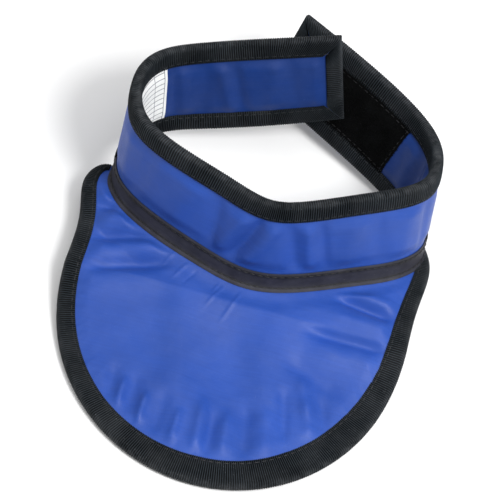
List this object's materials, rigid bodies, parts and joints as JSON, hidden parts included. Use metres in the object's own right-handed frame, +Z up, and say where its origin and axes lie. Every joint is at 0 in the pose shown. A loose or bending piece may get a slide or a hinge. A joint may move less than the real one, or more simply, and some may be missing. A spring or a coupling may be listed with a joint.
{
  "type": "shielding neck collar",
  "caption": "Soft layered neck collar with a half-oval bib, bound edges, crossing hook-and-loop tails and a taped neck seam.",
  "frame": {"origin": "centre of the bounding box on the table that the collar stands on", "axes": "+Z up from the table, -Y the way the bib points, +X towards the right of the front"},
  "size_m": [0.2141, 0.3035, 0.0923],
  "materials": {
    "cover": "coated plain-weave nylon, soft sheen",
    "core": "flexible filled sheet, matte",
    "lining": "plain-weave nylon, low sheen",
    "binding": "ribbed woven tape",
    "seam_tape": "smooth folded tape with two rows of stitches",
    "hook_patch": "hook half of a hook-and-loop closure",
    "loop_patch": "loop half of a hook-and-loop closure, velvet-like",
    "size_label": "smooth white label with blank ruled lines"
  },
  "bodies": {
    "front": {"front_band_cover": "cover", "front_band_core_outer": "core", "front_band_core_inner": "core", "front_band_lining": "lining", "front_top_binding": "binding", "neck_seam_tape": "seam_tape", "inner_neck_seam_tape": "seam_tape", "upper_bib_cover": "cover", "upper_bib_core_outer": "core", "upper_bib_core_inner": "core", "upper_bib_lining": "lining", "left_ear_binding": "binding", "right_ear_binding": "binding"},
    "left_tail": {"left_tail_band_cover": "cover", "left_tail_band_core_outer": "core", "left_tail_band_core_inner": "core", "left_tail_band_lining": "lining", "left_tail_top_binding": "binding", "left_tail_bottom_binding": "binding", "left_tail_end_binding": "binding", "hook_patch": "hook_patch", "size_label": "size_label"},
    "right_tail": {"right_tail_band_cover": "cover", "right_tail_band_core_outer": "core", "right_tail_band_core_inner": "core", "right_tail_band_lining": "lining", "right_tail_top_binding": "binding", "right_tail_bottom_binding": "binding", "right_tail_end_binding": "binding", "loop_patch": "loop_patch"},
    "bib_lobe": {"lobe_cover": "cover", "lobe_core_outer": "core", "lobe_core_inner": "core", "lobe_lining": "lining", "lobe_binding": "binding"}
  },
  "joints": [
    {"name": "right_tail_swing", "type": "hinge", "parent": "front", "child": "right_tail", "pos_m": [0.0992, 0.0555, 0.0405], "axis": [0.06, -0.31, -0.9489], "range_deg": [0, 70]},
    {"name": "left_tail_swing", "type": "hinge", "parent": "front", "child": "left_tail", "pos_m": [-0.0914, 0.0422, 0.0522], "axis": [0.035, 0.108, 0.9935], "range_deg": [0, 35]},
    {"name": "bib_lift", "type": "hinge", "parent": "front", "child": "bib_lobe", "pos_m": [0.0005, -0.034, 0.01755], "axis": [-1, 0, 0], "range_deg": [0, 60]}
  ],
  "couplings": [
    {"joint": "left_tail_swing", "follows": "right_tail_swing", "ratio": 0.5}
  ]
}
